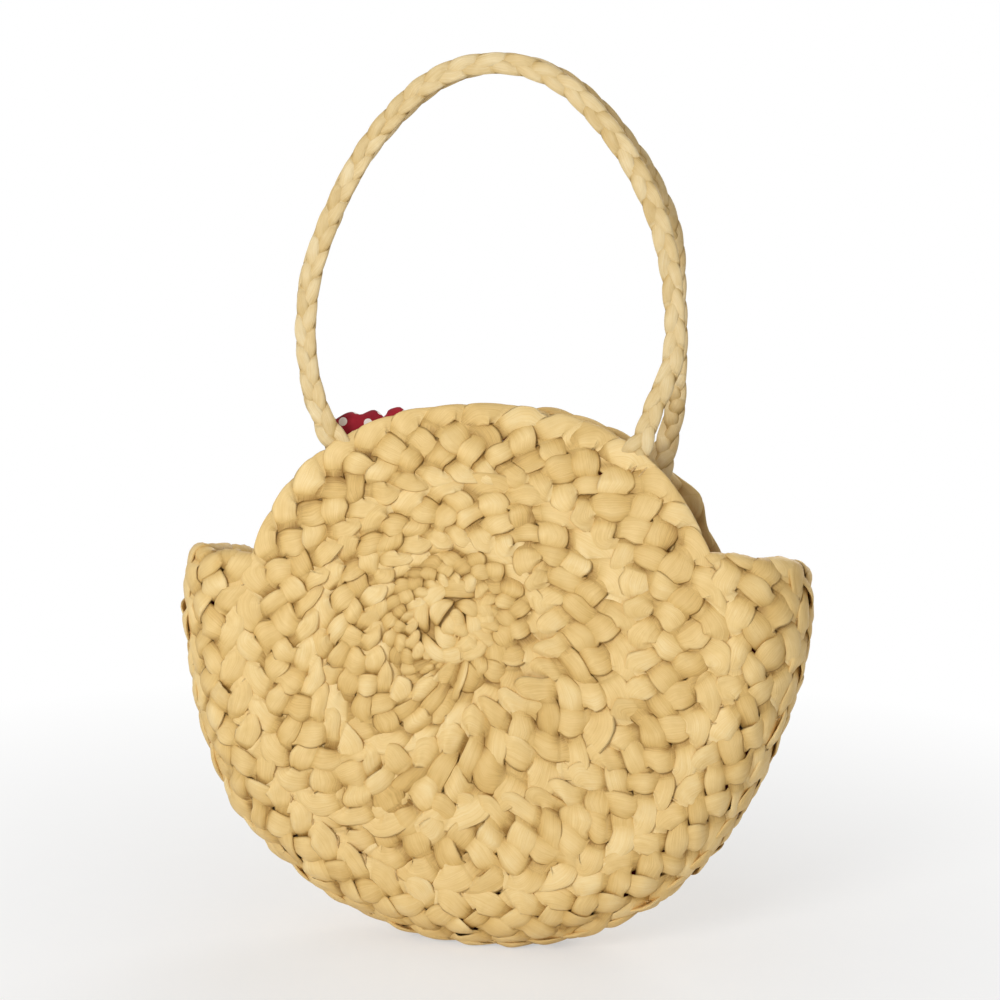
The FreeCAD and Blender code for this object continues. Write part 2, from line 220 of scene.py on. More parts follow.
def plait(name, band, look, seed, material):
    """A flat plait of an odd number of strands along a band.

    band holds, along its length: s, the phase in periods, the width, the size of a strand against
    a full one, and how far folded strands may pass over each edge; place turns (along, across, up)
    into points."""
    rng = np.random.default_rng(seed)
    strands = look["strands"]
    periods = band["phase"][-1] - band["phase"][0]
    rings = int(periods * look["samples"])
    sides = len(SECTION_PLACES)
    phase = np.linspace(band["phase"][0], band["phase"][-1], rings)
    s = np.interp(phase, band["phase"], band["s"])

    def on_band(label):
        return np.interp(s, band["s"], band[label])

    width = on_band("width")
    size = on_band("size")
    shift_s = wave_field(rng, count=8, longest=0.060, shortest=0.018)
    shift_u = wave_field(rng, count=8, longest=0.060, shortest=0.018)
    # How high a strand's surface can rise; the painted shade is full at the middle plane and gone at this
    # height.
    reach = look["lift"] + look["half_thickness"] + look["ridge"]
    points, faces, tones, painted_shades, uvs = [], [], [], [], []
    for strand in range(strands):
        cosine, beat = strand_beat(strands, phase, strand)
        swing = np.arcsin(look["sharpness"] * cosine) / math.asin(look["sharpness"])
        wave = np.sin(math.pi * beat)
        first_lobe = int(math.floor(beat[0]))
        lobes = int(math.floor(beat[-1])) - first_lobe + 2
        centres = first_lobe + 0.5 + np.arange(lobes)

        def per_lobe(values):
            return np.interp(beat, centres, values)

        raised = per_lobe(rng.normal(0.0, look["raised"], lobes))
        aside = per_lobe(rng.normal(0.0, look["aside"], lobes))
        roll = per_lobe(rng.normal(0.0, look["roll"], lobes))
        ridge_at = per_lobe(rng.uniform(-RIDGE_OFF_CENTRE, RIDGE_OFF_CENTRE, lobes))
        ridge = look["ridge"] * per_lobe(rng.uniform(*RIDGE_HEIGHTS, lobes))
        half = []
        for lead in (look["skew"], -look["skew"]):
            fat = per_lobe(rng.normal(1.0, look["uneven"], lobes))
            puff = np.abs(np.sin(math.pi * (beat + lead))) ** PUFF_POWER
            half.append(look["half_width"] * size * fat * (look["pinch"] + (1 - look["pinch"]) * puff))
        tone = rng.uniform(0, 1, lobes)[np.floor(beat).astype(int) - first_lobe]
        tone = LOBE_TONE * tone + (1 - LOBE_TONE) * rng.uniform()

        across_mid = (0.5 * width - look["inset"] * size) * swing + aside * size
        step_s = np.gradient(s)
        step_u = np.gradient(across_mid)
        length = np.hypot(step_s, step_u)
        along = np.cumsum(length)
        dir_s = step_s / length
        dir_u = step_u / length
        inward = 1 - np.abs(SECTION_PLACES)[None, :]
        place = SECTION_PLACES[None, :] + ridge_at[:, None] * inward
        across = place * np.where(place < 0, half[0][:, None], half[1][:, None])
        thinned = size ** THICKNESS_POWER
        thick = look["half_thickness"] * thinned
        lift = look["lift"] * wave * (1 + raised) * thinned
        up = lift[:, None] + thick[:, None] * SECTION_DOME[None, :]
        up += (ridge * size)[:, None] * inward * SECTION_FACING[None, :]
        up += across * np.tan(roll)[:, None]
        flat_s = s[:, None] - dir_u[:, None] * across
        flat_u = across_mid[:, None] + dir_s[:, None] * across
        fold_s, ahead = nearest_fold(strands, phase, strand, s)
        fold_s = fold_s[:, None]
        flat_s = np.where(ahead[:, None], np.minimum(flat_s, fold_s), np.maximum(flat_s, fold_s))
        spot = np.column_stack([flat_s.ravel(), flat_u.ravel(), np.zeros(flat_s.size)])
        drift = look["drift"] * np.repeat(size, sides)
        flat_s = flat_s.ravel() + drift * shift_s(spot)
        flat_u = flat_u.ravel() + drift * shift_u(spot)
        edge = 0.5 * np.repeat(width, sides)
        over_outer = np.repeat(on_band("outer_scallop"), sides)
        over_inner = np.repeat(on_band("inner_scallop"), sides)
        flat_u = soft_limit(flat_u, edge + over_outer, look["edge"])
        flat_u = -soft_limit(-flat_u, edge + over_inner, look["edge"])
        tilt = look["tilt"] * flat_u / edge
        points.append(band["place"](flat_s, flat_u, up.ravel() - tilt))
        faces += tube_faces(rings, sides, strand * rings * sides)
        tones.append(np.repeat(tone, sides))
        # Painted shade: a strand darkens where it dips low under its crossings, fading out near the plait's
        # edges.
        painted_shade_kept = 1 - smooth_step((np.abs(swing) - SHADE_FADE_FROM) / SHADE_FADE_RUN)
        painted_shades.append((1 - np.clip(np.abs(up) / reach, 0, 1)) * painted_shade_kept[:, None])
        uvs.append(strand_uv(along + STRAND_UV_STEP * strand))
    knots = band["knots"](len(points) * rings * sides, rng) if "knots" in band else []
    for placed, knot_faces, knot_uv, knot_painted_shade in knots:
        points.append(placed)
        faces += knot_faces
        tones.append(np.full(len(placed), rng.uniform(*KNOT_TONES)))
        painted_shades.append(knot_painted_shade)
        uvs.append(knot_uv)
    points = np.concatenate(points)
    wobble = wave_field(rng, count=9, longest=0.045, shortest=0.012)
    points[:, 1] += look["wobble"] * wobble(points)
    points[:, 2] = soft_floor(points[:, 2])
    # The "depth" attribute is painted shade, not a colour of the husk: the material darkens the creases by
    # it.
    depth = np.concatenate([block.ravel() for block in painted_shades])
    attributes = {"tone": np.concatenate(tones), "depth": depth}
    return mesh_object(name, points, faces, material, attributes, np.concatenate(uvs))


WIDE_PLAIT = {
    "strands": 5, "samples": SAMPLES_PER_PERIOD, "sharpness": 0.84, "uneven": 0.13, "raised": 0.30,
    "aside": 0.0009, "roll": 0.13, "pinch": 0.72, "skew": 0.13, "half_width": 0.0074,
    "half_thickness": 0.0008, "ridge": 0.0011, "inset": 0.0036, "lift": 0.0013, "drift": 0.0012,
    "tilt": 0.0004, "wobble": 0.0006, "edge": 0.0016,
}
HANDLE_PLAIT = dict(
    WIDE_PLAIT, strands=3, samples=36, sharpness=0.90, uneven=0.06, raised=0.10, aside=0.0002,
    roll=0.08, pinch=0.90, skew=0.10, half_width=0.0040, half_thickness=0.0013, ridge=0.0006,
    inset=0.0030, lift=0.0010, drift=0.0003, tilt=0.0, wobble=0.0003, edge=0.0010,
)


def panel_surface(x, height, up, side=-1):
    """A point over the bent disc: height is from the disc's centre, up is out of the bag."""
    bend = np.clip(height - BEND_START, 0, BEND_LIMIT)
    angle = np.arcsin(bend / BEND_RADIUS)
    depth = HALF_DEPTH - BEND_RADIUS * (1 - np.cos(angle))
    y = side * (depth + up * np.cos(angle))
    z = DISC_HEIGHT + height + up * np.sin(angle)
    return settle(np.column_stack([x, y, z]))


SIDE_SIGN = {"front": -1, "back": 1}
EYE = {"front": (-0.011, 0.021), "back": (0.010, 0.012)}
START_ANGLE = {"front": math.radians(-70), "back": math.radians(-110)}
SCALLOP = 0.0026
MOUTH_SINE = 0.30

# The spiral, in turns from the rim: its length, where it runs out at the eye, and how it narrows.
SPIRAL_TURNS = 3.10
SPIRAL_STEP = 0.004
EYE_TURN = 3
NARROW_TURNS = [1.45, 1.80, 2.00, 2.45, 2.78, 3.00]
NARROW_SHARES = [1.00, 0.86, 0.72, 0.62, 0.52, 0.24]

# The knot at the eye: radius and number of strands of its backing, then of its rings.
KNOT_SHIFT = {"front": (-0.0014, -0.0045), "back": (-0.0064, 0.0077)}
KNOT_RINGS = ((0.0, 1), (0.0185, 8), (0.0112, 5), (0.0042, 3))
KNOT_BACKING = {"half_length": 0.030, "half_width": 0.028, "up": -0.0020, "thick": 0.0009}
KNOT_STRAND = {
    "half_length": 0.0045, "longer": 0.36, "lengths": (0.9, 1.15), "half_widths": (0.0041, 0.0053),
    "up": 0.0018, "fall": 0.05, "droop": 0.0024, "tuck": 0.0006, "thick": 0.0016,
}
KNOT_ASTRAY = 0.35
KNOT_IN_OUT = 0.12
KNOT_SLANTS = (0.0, 0.35)
# Height over the panel at which a knot strand's painted shade fades out; lower strands are darker.
KNOT_REACH = 0.0024
KNOT_UV_START = 30.0


def in_degrees(*rows):
    """Rows of an angle, a half angle and an amount, with the two angles given in degrees."""
    return [(math.radians(centre), math.radians(half), amount) for centre, half, amount in rows]


# Places where the soft rim stands out, or in if negative: angle, half angle, share of the radius.
RIM_BULGES = {
    "front": in_degrees((134, 22, 0.050), (52, 24, 0.042)),
    "back": in_degrees((92, 24, -0.036), (30, 15, -0.045), (36.5, 5.2, 0.050)),
}


def angle_apart(angle, centre):
    return (angle - centre + math.pi) % (2 * math.pi) - math.pi


def rim_bulge(which, angle):
    total = 0
    for centre, half, share in RIM_BULGES[which]:
        total = total + share * np.exp(-(angle_apart(angle, centre) / half) ** 2)
    return total


def spiral_band(which):
    """One plait coiled into the disc. It starts under its own first turn at the rim, each turn's outer
    edge is the inner edge of the turn outside it, and the last turns narrow towards the eye."""
    side = SIDE_SIGN[which]
    start_angle = START_ANGLE[which]
    eye = EYE[which]
    jog = 0.22
    tail = 0.03
    tail_sinks = 0.0026
    overlap = 0.0014
    least_width = 0.006
    least_middle = 0.005
    least_radius = 0.0004
    least_period_width = 0.014
    eye_gap = 0.001
    turn = np.arange(-jog - tail, SPIRAL_TURNS, SPIRAL_STEP)
    width = PANEL_WIDTH * np.interp(turn, NARROW_TURNS, NARROW_SHARES)
    edge = np.full(len(turn), DISC_RADIUS - RIM_GAP)
    leaving = (turn > 1 - jog) & (turn <= 1)
    edge[leaving] -= PANEL_WIDTH * smooth_step((turn[leaving] - 1 + jog) / jog)
    for index in np.flatnonzero(turn > 1):
        edge[index] = np.interp(turn[index] - 1, turn, edge - width)
        if turn[index] > EYE_TURN:
            width[index] = max(edge[index], least_width)
    edge = np.maximum(edge, 0.5 * width + eye_gap)
    angle = 2 * math.pi * turn
    middle = np.maximum(edge - 0.5 * width, least_middle)
    step = np.diff(angle, prepend=angle[0])
    s = np.cumsum(middle * step)
    phase = np.cumsum(middle * step / (PERIOD_PER_WIDTH * np.maximum(width, least_period_width)))
    strand_size = np.clip(width / PANEL_WIDTH, 0.30, 1.0) ** 0.85
    sunk = tail_sinks * (1 - smooth_step((turn + jog) / jog))
    at_mouth = (turn < 1 - jog) & (np.sin(start_angle + angle) > MOUTH_SINE)
    outer_scallop = np.where(at_mouth, 0.0, SCALLOP)

    def place(along, across, up):
        radius = np.interp(along, s, edge - 0.5 * width) + across
        radius = np.maximum(radius, least_radius)
        heading = start_angle + np.interp(along, s, angle)
        outward = (radius / DISC_RADIUS) ** 3
        radius = radius * (1 + rim_bulge(which, heading) * outward)
        x = radius * np.cos(heading)
        height = radius * np.sin(heading)
        inner = np.clip(1 - (radius / DISC_RADIUS) ** 2, 0, 1) ** 2
        up = up - np.interp(along, s, sunk)
        return panel_surface(x + eye[0] * inner, height + eye[1] * inner, up, side)

    def knots(first, rng):
        """The gathered start of the plait: a flat backing, and strands laid round the eye in three rings
        of arcs. One end of each arc lies under the one before it."""
        built = []
        rings = 11
        sides = len(SECTION_PLACES)
        share = np.linspace(-1, 1, rings)
        heart = np.add(eye, KNOT_SHIFT[which])
        for ring_radius, count in KNOT_RINGS:
            for index in range(count):
                heading = 2 * math.pi * (index + KNOT_ASTRAY * rng.uniform(-1, 1)) / count
                radius = ring_radius * (1 + KNOT_IN_OUT * rng.uniform(-1, 1))
                outward = np.array([math.cos(heading), math.sin(heading)])
                slant = heading + 0.5 * math.pi + rng.uniform(*KNOT_SLANTS)
                if ring_radius:
                    kind = KNOT_STRAND
                    half_length = kind["half_length"] + kind["longer"] * ring_radius
                    half_length = half_length * rng.uniform(*kind["lengths"])
                    half_width = rng.uniform(*kind["half_widths"])
                    bow = 0.5 * half_length ** 2 / ring_radius * share ** 2
                    top = kind["up"] - kind["fall"] * ring_radius
                    top = top - kind["droop"] * share ** 2 - kind["tuck"] * share
                else:
                    kind = KNOT_BACKING
                    half_length = kind["half_length"]
                    half_width = kind["half_width"]
                    bow = np.zeros(rings)
                    top = np.full(rings, kind["up"])
                line = heart + radius * outward
                line = line + half_length * share[:, None] * [math.cos(slant), math.sin(slant)]
                line = line - bow[:, None] * outward
                across = SECTION_PLACES[None, :] * (half_width * np.sqrt(1.05 - share ** 2))[:, None]
                up = top[:, None] + kind["thick"] * SECTION_DOME[None, :] * (1 - 0.5 * share ** 2)[:, None]
                x = line[:, :1] - math.sin(slant) * across
                height = line[:, 1:] + math.cos(slant) * across
                placed = panel_surface(x.ravel(), height.ravel(), up.ravel(), side)
                uv = strand_uv(KNOT_UV_START + half_length * (share + 2 * len(built)))
                faces = tube_faces(rings, sides, first + len(built) * rings * sides)
                # The last entry is painted shade: darker the lower a strand lies.
                built.append((placed, faces, uv, np.clip(1 - up / KNOT_REACH, 0, 1)))
        return built

    return {
        "s": s, "phase": phase, "width": width + 2 * overlap * strand_size, "size": strand_size,
        "place": place, "knots": knots, "outer_scallop": outer_scallop,
        "inner_scallop": np.full(len(s), SCALLOP),
    }


# Places of the gusset's rows and seams round its rounded section, in degrees from front to back.
ROW_ANGLE = math.radians(60)
GUSSET_ROWS = (("front", -60), ("middle", 0), ("back", 60))
ROW_SEAMS = (("front", -30), ("back", 30))
PANEL_SEAMS = (("front", -90), ("back", 90))


def round_section(section, swept, depth):
    """Points of the gusset's rounded section, swept round the disc, and their outward normals."""
    reach = SEAM_RADIUS + depth * np.cos(section)
    points = np.column_stack([
        reach * np.sin(swept), depth * np.sin(section), DISC_HEIGHT - reach * np.cos(swept),
    ])
    normal = np.column_stack([
        np.cos(section) * np.sin(swept), np.sin(section), -np.cos(section) * np.cos(swept),
    ])
    return points, normal


def gusset_band(mid_angle):
    """One row of the gusset: mid_angle is its place round the rounded section, from front to back."""
    roll_radius = 0.0042
    tucked = 0.036
    tuck_narrows = 0.15
    overlap = 0.0034
    samples = 600
    seam_from = math.radians(72)
    seam_run = math.radians(22)
    seam_sinks = 0.0008
    mid_reach = SEAM_RADIUS + HALF_DEPTH * math.cos(mid_angle)
    half_length = mid_reach * (0.5 * math.pi + math.asin(GUSSET_END / mid_reach))
    half_band = half_length + tucked
    row_width = ROW_ANGLE * HALF_DEPTH + overlap
    s = np.linspace(-half_band, half_band, samples)
    phase = (s - s[0]) / (GUSSET_PERIOD_PER_WIDTH * row_width)
    tuck_size = 1 - tuck_narrows * smooth_step((np.abs(s) - half_length) / tucked)

    def place(along, across, up):
        section = mid_angle + across / HALF_DEPTH
        seam = smooth_step((np.abs(section) - seam_from) / seam_run)
        up = up - seam_sinks * seam
        reach = SEAM_RADIUS + HALF_DEPTH * np.cos(section)
        end_height = GUSSET_END - roll_radius - EAR_DROP * np.sin(0.5 * section + 0.25 * math.pi) ** 2
        right_rise = np.interp(section, EAR_PLACES, EAR_RIGHT_RISE)
        left_rise = np.interp(section, EAR_PLACES, EAR_LEFT_RISE)
        end_height = end_height + np.where(along > 0, right_rise, left_rise)
        end = 0.5 * math.pi + np.arcsin(end_height / reach)
        swept = np.clip(along / half_length, -1, 1) * end
        beyond = np.maximum(np.abs(along) - half_length, 0)
        over = np.sign(along) * np.minimum(beyond / roll_radius, math.pi)
        inside = np.sign(along) * np.maximum(beyond - math.pi * roll_radius, 0)
        base, normal = round_section(section, swept, HALF_DEPTH)
        tangent = np.column_stack([np.cos(swept), np.zeros(len(swept)), np.sin(swept)])
        base += roll_radius * np.sin(over)[:, None] * tangent
        base -= roll_radius * (1 - np.cos(over))[:, None] * normal
        base -= inside[:, None] * tangent
        lifted = np.cos(over)[:, None] * normal + np.sin(over)[:, None] * tangent
        return settle(base + up[:, None] * lifted)

    width = np.full(len(s), row_width)
    scallop = np.full(len(s), SCALLOP)
    return {
        "s": s, "phase": phase, "width": width, "size": tuck_size, "place": place,
        "outer_scallop": scallop, "inner_scallop": scallop,
    }


def panel_depth(height):
    """Depth of the bent disc's middle, from the bag's middle plane, at a height over the disc's centre."""
    bend = max(height - BEND_START, 0)
    return HALF_DEPTH - BEND_RADIUS + math.sqrt(BEND_RADIUS ** 2 - bend ** 2)


HANDLE_HALF_WIDTH = 0.099
HANDLE_WAIST_RISE = 0.041
HANDLE_RISE = 0.179
HANDLE_TOP_RADIUS = 0.066
HANDLE_TOP_DEPTH = 0.0065
HANDLE_PERIOD = 0.043
HANDLE_WIDTH = 0.0118
ARC_STEP = 0.001
ARC_LEAST_POINTS = 8
ROOT_INSET = {"front": 0.022, "back": 0.010}
# The soft handles hang a little askew: how far each leg stands to the right, at shares of its height.
SHIFT_PLACES = [0.0, 0.14, 0.27, 0.40, 0.65, 1.0]
HANDLE_SHIFTS = {
    "front": {
        "left": [-0.0024, -0.0010, -0.0003, 0.0004, 0.0024, 0.0],
        "right": [-0.0008, -0.0046, -0.0016, -0.0018, -0.0010, 0.0],
    },
    "back": {
        "left": [0.0, -0.0103, -0.0106, -0.0092, -0.0032, 0.0],
        "right": [-0.0034, -0.0020, -0.0042, -0.0048, 0.0006, 0.0],
    },
}


def handle_place(which):
    """Root height over the disc's centre, depth there, and lean of a handle's plane."""
    root_x = HANDLE_HALF_WIDTH - ROOT_INSET[which]
    root_height = math.sqrt(DISC_RADIUS ** 2 - root_x ** 2)
    root_depth = panel_depth(root_height)
    height = DISC_RADIUS + HANDLE_RISE - root_height
    lean = math.atan((root_depth - HANDLE_TOP_DEPTH) / height)
    return root_height, root_depth, height, lean


def arc(centre, radius, start, end):
    count = max(int(abs(end - start) * radius / ARC_STEP), ARC_LEAST_POINTS)
    angle = np.linspace(start, end, count)
    return np.column_stack([centre[0] + radius * np.cos(angle), centre[1] + radius * np.sin(angle)])


def handle_band(which):
    """A handle: three tangent arcs each side, and a tail that goes on into the rim it is sewn to."""
    sign = SIDE_SIGN[which]
    root_height, root_depth, height, lean = handle_place(which)
    waist = DISC_RADIUS + HANDLE_WAIST_RISE - root_height
    inset = ROOT_INSET[which]
    rise = height - HANDLE_TOP_RADIUS - waist
    excess = HANDLE_HALF_WIDTH - HANDLE_TOP_RADIUS
    side_radius = (HANDLE_HALF_WIDTH ** 2 + rise ** 2 - HANDLE_TOP_RADIUS ** 2) / (2 * excess)
    foot_radius = (waist ** 2 + inset ** 2) / (2 * inset)
    meet = math.atan2(rise, side_radius - HANDLE_HALF_WIDTH)
    tail = 0.016
    flare_run = 0.024
    flare_widens = 0.40
    tail_narrows = 0.25
    foot_sinks = 0.0036
    sink_below = 0.004
    sink_run = 0.012
    foot_start = -math.asin(waist / foot_radius) - tail / foot_radius
    half = np.concatenate([
        arc((HANDLE_HALF_WIDTH - foot_radius, waist), foot_radius, foot_start, 0)[:-1],
        arc((HANDLE_HALF_WIDTH - side_radius, waist), side_radius, 0, meet)[:-1],
        arc((0, height - HANDLE_TOP_RADIUS), HANDLE_TOP_RADIUS, meet, 0.5 * math.pi),
    ])
    line = np.concatenate([half, (half * [-1, 1])[-2::-1]])
    steps = np.hypot(*np.diff(line, axis=0).T)
    s = np.concatenate([[0], np.cumsum(steps)])
    heading = np.gradient(line, s, axis=0)
    heading /= np.hypot(heading[:, 0], heading[:, 1])[:, None]
    from_end = np.minimum(s, s[-1] - s)
    flare = 1 - smooth_step((from_end - tail) / flare_run)
    width = HANDLE_WIDTH * (1 + flare_widens * flare)
    size = 1 - tail_narrows * (1 - smooth_step(from_end / tail))

    def place(along, across, up):
        t = np.interp(along, s, line[:, 1])
        hang = np.clip(t / height, 0, 1)
        shift = np.where(
            along < 0.5 * s[-1], eased(hang, SHIFT_PLACES, HANDLE_SHIFTS[which]["right"]),
            eased(hang, SHIFT_PLACES, HANDLE_SHIFTS[which]["left"]),
        )
        x = np.interp(along, s, line[:, 0]) + shift
        out_x = np.interp(along, s, heading[:, 1])
        out_t = -np.interp(along, s, heading[:, 0])
        x = x + across * out_x
        t = t + across * out_t
        up = up - foot_sinks * (1 - smooth_step((t + sink_below) / sink_run))
        y = sign * (root_depth - t * math.sin(lean) + up * math.cos(lean))
        z = DISC_HEIGHT + root_height + t * math.cos(lean) + up * math.sin(lean)
        return np.column_stack([x, y, z])

    none = np.zeros(len(s))
    return {
        "s": s, "phase": s / HANDLE_PERIOD, "width": width, "size": size, "place": place,
        "outer_scallop": none, "inner_scallop": none,
    }


def new_material(name):
    material = bpy.data.materials.new(name)
    material.use_nodes = True
    tree = material.node_tree
    return material, tree, tree.nodes["Principled BSDF"]


def set_inputs(tree, node, **inputs):
    """Sets a node's inputs: each to a value, or to the output socket that feeds it. Double underscores
    stand for blanks in a socket's name, and in0, in1 and so on are sockets by place."""
    for label, value in inputs.items():
        key = int(label[2:]) if label[:2] == "in" else label.replace("__", " ")
        if isinstance(value, bpy.types.NodeSocket):
            tree.links.new(value, node.inputs[key])
        else:
            node.inputs[key].default_value = value


def add_node(tree, kind, **inputs):
    node = tree.nodes.new(kind)
    set_inputs(tree, node, **inputs)
    return node


def math_node(tree, operation, first, second=0.0, clamp=False):
    node = add_node(tree, "ShaderNodeMath", in0=first, in1=second)
    node.operation = operation
    node.use_clamp = clamp
    return node.outputs[0]


def scaled(tree, value, factor, start):
    """start + factor * value, as a node."""
    node = add_node(tree, "ShaderNodeMath", in0=value, in1=factor, in2=start)
    node.operation = "MULTIPLY_ADD"
    return node.outputs[0]


def noise(tree, place, **inputs):
    return add_node(tree, "ShaderNodeTexNoise", Vector=place, **inputs).outputs["Fac"]


def bumped(tree, height, strength, distance):
    return add_node(tree, "ShaderNodeBump", Height=height, Strength=strength, Distance=distance).outputs[0]


def attribute(tree, label):
    node = tree.nodes.new("ShaderNodeAttribute")
    node.attribute_name = label
    return node.outputs["Fac"]


def uv_parts(tree):
    uv = tree.nodes.new("ShaderNodeUVMap")
    uv.uv_map = "Strand"
    parts = add_node(tree, "ShaderNodeSeparateXYZ", in0=uv.outputs[0])
    return parts.outputs[0], parts.outputs[1]


def linear(red, green, blue):
    """A colour written as on screen, 0 to 255, as the shader takes it."""
    def channel(value):
        value /= 255
        return value / 12.92 if value <= 0.04045 else ((value + 0.055) / 1.055) ** 2.4
    return (channel(red), channel(green), channel(blue), 1.0)


def colour_ramp(tree, factor, stops):
    node = add_node(tree, "ShaderNodeValToRGB", in0=factor)
    ramp = node.color_ramp
    while len(ramp.elements) < len(stops):
        ramp.elements.new(0.5)
    for element, (position, colour) in zip(ramp.elements, stops):
        element.position = position
        element.color = colour
    return node.outputs[0]


def straw_material(name, colours, fibres):
    """Dried husk: fibres along each strand, every lobe its own tone, painted shade in the creases, a dull
    gloss.
    """
    fibre_run = 38.0
    broad_run = 110.0
    broad_lanes = 3.0
    seed_step = 37.0
    tone_share = 0.26
    fibre_share = 0.42
    broad_share = 0.34
    least_shade = 0.20
    painted_shade_power = 1.6
    painted_shade_share = 0.48
    stops = [(place, linear(*colour)) for place, colour in zip(HUSK_PLACES, colours)]
    material, tree, shader = new_material(name)
    tone = attribute(tree, "tone")
    # Painted shade in the creases, from the plait's geometry.
    depth = attribute(tree, "depth")
    along, turn = uv_parts(tree)
    doubled = math_node(tree, "MULTIPLY", turn, 2.0)
    folded = math_node(tree, "ABSOLUTE", math_node(tree, "SUBTRACT", doubled, 1.0))
    lane = math_node(tree, "MULTIPLY", folded, fibres)
    shade_seed = math_node(tree, "MULTIPLY", tone, seed_step)
    fibre_place = add_node(
        tree, "ShaderNodeCombineXYZ", in0=math_node(tree, "MULTIPLY", along, fibre_run), in1=lane,
        in2=shade_seed,
    )
    fibre = noise(tree, fibre_place.outputs[0], Scale=1.0, Detail=3.0, Roughness=0.6)
    broad_place = add_node(
        tree, "ShaderNodeCombineXYZ", in0=math_node(tree, "MULTIPLY", along, broad_run),
        in1=math_node(tree, "MULTIPLY", folded, broad_lanes), in2=shade_seed,
    )
    broad = noise(tree, broad_place.outputs[0], Scale=1.0, Detail=2.0)
    shade = scaled(tree, tone, tone_share, least_shade)
    shade = math_node(tree, "ADD", shade, math_node(tree, "MULTIPLY", fibre, fibre_share))
    shade = math_node(tree, "ADD", shade, math_node(tree, "MULTIPLY", broad, broad_share))
    # Painted shade: the creases, where the "depth" attribute is high, are darkened.
    sunk = math_node(tree, "POWER", depth, painted_shade_power)
    shade = math_node(tree, "SUBTRACT", shade, math_node(tree, "MULTIPLY", sunk, painted_shade_share), clamp=True)
    relief = math_node(tree, "ADD", fibre, math_node(tree, "MULTIPLY", broad, 0.8))
    set_inputs(
        tree, shader, Base__Color=colour_ramp(tree, shade, stops), Specular__IOR__Level=0.35,
        Roughness=scaled(tree, fibre, factor=0.30, start=0.38),
        Normal=bumped(tree, relief, strength=0.55, distance=0.0006),
    )
    return material


def lining_material(name):
    """Red cotton with a plain spot print and a fine weave."""
    spot_size = 0.24
    weave_density = 9000.0
    material, tree, shader = new_material(name)
    across, along = uv_parts(tree)
    place = add_node(tree, "ShaderNodeCombineXYZ", in0=across, in1=along).outputs[0]
    turned = add_node(tree, "ShaderNodeVectorRotate", Vector=place, Angle=math.radians(45))
    spots = add_node(
        tree, "ShaderNodeTexVoronoi", Vector=turned.outputs[0], Scale=105.0, Randomness=0.0,
    ).outputs["Distance"]
    spot = math_node(tree, "LESS_THAN", spots, spot_size)
    blotch = noise(tree, place, Scale=60.0, Detail=3.0)
    red = colour_ramp(tree, blotch, [(0.3, linear(128, 18, 34)), (0.7, linear(190, 40, 58))])
    cloth = add_node(tree, "ShaderNodeMix", Factor=spot)
    cloth.data_type = "RGBA"
    set_inputs(tree, cloth, in6=red, in7=linear(238, 228, 220))
    warp = math_node(tree, "SINE", math_node(tree, "MULTIPLY", across, weave_density))
    weft = math_node(tree, "SINE", math_node(tree, "MULTIPLY", along, weave_density))
    weave = math_node(tree, "MULTIPLY", warp, weft)
    set_inputs(
        tree, shader, Base__Color=cloth.outputs[2], Specular__IOR__Level=0.2, Sheen__Weight=0.15,
        Roughness=scaled(tree, blotch, factor=0.2, start=0.72),
        Normal=bumped(tree, weave, strength=0.25, distance=0.0002),
    )
    return material


def thread_material(name):
    """Waxed sewing thread, with the turns of its plies."""
    material, tree, shader = new_material(name)
    place = tree.nodes.new("ShaderNodeTexCoord").outputs["Object"]
    plies = noise(tree, place, Scale=900.0, Detail=2.0)
    colour = colour_ramp(tree, plies, [(0.3, linear(176, 140, 84)), (0.7, linear(220, 188, 130))])
    set_inputs(
        tree, shader, Base__Color=colour, Roughness=scaled(tree, plies, factor=0.3, start=0.45),
        Normal=bumped(tree, plies, strength=0.4, distance=0.0002),
    )
    return material


# Colours of husk from the painted shade in the creases to the brightest fibres; the darkest colour is
# painted shade. The handles are of paler, greyer husk.
HUSK_PLACES = (0.0, 0.22, 0.48, 0.74, 1.0)
PANEL_HUSK = ((88, 59, 18), (164, 124, 60), (218, 181, 110), (237, 205, 140), (250, 227, 173))
HANDLE_HUSK = ((84, 58, 20), (157, 122, 63), (208, 177, 116), (226, 201, 149), (240, 223, 183))
straw = straw_material("straw_plait", PANEL_HUSK, fibres=46.0)
handle_straw = straw_material("straw_handle", HANDLE_HUSK, fibres=26.0)
cotton = lining_material("lining_cotton")
thread = thread_material("sewing_thread")


def rings_sheet(name, rows, thickness, material, closed=False):
    """A thin closed cloth from rows of (points, normals, flat places): both faces and the edge between."""
    count = len(rows)
    across = len(rows[0][0])
    outer = np.concatenate([row[0] for row in rows])
    normal = np.concatenate([row[1] for row in rows])
    uv = np.concatenate([row[2] for row in rows])
    points = np.concatenate([outer, outer - thickness * normal])
    under = count * across
    grid = np.arange(under).reshape(count, across)
    if closed:
        grid = np.column_stack([grid, grid[:, 0]])
    upper = [grid[:-1, :-1], grid[:-1, 1:], grid[1:, 1:], grid[1:, :-1]]
    upper = np.stack(upper, axis=-1).reshape(-1, 4)
    faces = np.stack([upper, under + upper[:, ::-1]], axis=1).reshape(-1, 4).tolist()
    for edge in (grid[0], grid[-1]):
        faces += np.column_stack([edge[:-1], under + edge[:-1], under + edge[1:], edge[1:]]).tolist()
    if not closed:
        for edge in (grid[:, 0], grid[:, -1]):
            faces += np.column_stack([edge[:-1], edge[1:], under + edge[1:], under + edge[:-1]]).tolist()
    return mesh_object(name, points, faces, material, None, np.concatenate([uv, uv]))


